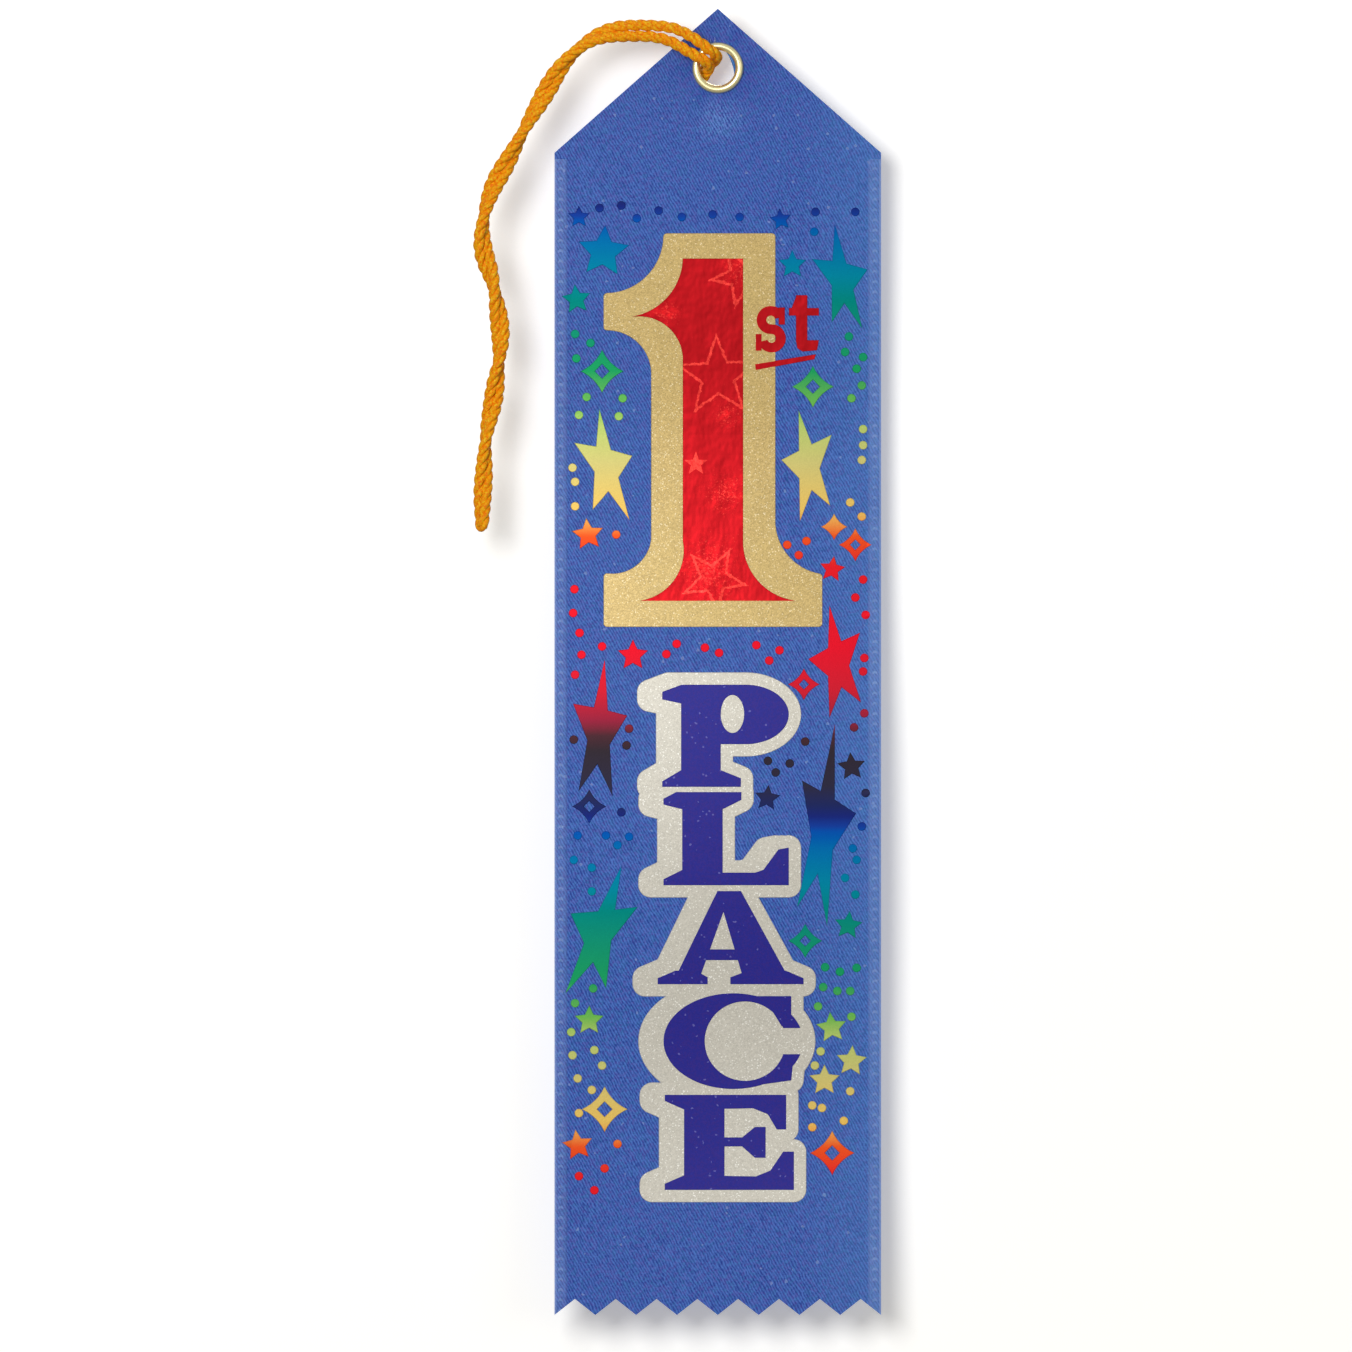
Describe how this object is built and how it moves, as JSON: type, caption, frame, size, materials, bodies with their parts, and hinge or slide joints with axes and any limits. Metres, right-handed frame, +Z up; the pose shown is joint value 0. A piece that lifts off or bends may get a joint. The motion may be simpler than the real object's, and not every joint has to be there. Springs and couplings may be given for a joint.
{
  "type": "award ribbon",
  "caption": "Pointed satin award ribbon with a rank numeral in foil, a pinked lower edge, a brass eyelet and a knotted cord loop that turns in the eyelet.",
  "frame": {"origin": "centre of the eyelet, halfway through the cloth", "axes": "+Z up along the strip to its point, -Y out of the printed face, +X to the right of somebody facing the print"},
  "size_m": [0.0635, 0.0121, 0.2032],
  "materials": {
    "satin": "blue satin weave, ladder-marked selvedges",
    "eyelet_brass": "polished pale brass",
    "gold_glitter": "fine gold glitter print",
    "red_foil": "red foil, faintly holographic",
    "silver_glitter": "fine silver glitter print",
    "blue_foil": "purple-blue foil, satin",
    "rainbow_foil": "embossed foil whose colour runs through the rainbow down the strip",
    "cord": "orange-gold twisted rayon"
  },
  "bodies": {
    "ribbon": {"satin_ribbon": "satin", "eyelet": "eyelet_brass", "eyelet_washer": "eyelet_brass", "numeral_border": "gold_glitter", "numeral": "red_foil", "suffix_s": "red_foil", "suffix_t": "red_foil", "suffix_underline": "red_foil", "letter_border": "silver_glitter", "letter_p": "blue_foil", "letter_l": "blue_foil", "letter_a": "blue_foil", "letter_c": "blue_foil", "letter_e": "blue_foil", "crooked_stars": "rainbow_foil", "small_stars": "rainbow_foil", "solid_sparkle": "rainbow_foil", "outlined_sparkles": "rainbow_foil", "foil_dots": "rainbow_foil"},
    "cord": {"cord_loop": "cord", "cord_leg_upper": "cord", "cord_leg_lower": "cord", "cord_knot": "cord"}
  },
  "joints": [
    {"name": "cord_swing", "type": "hinge", "parent": "ribbon", "child": "cord", "pos_m": [0, 0, 0], "axis": [0, -1, 0], "continuous": true}
  ]
}
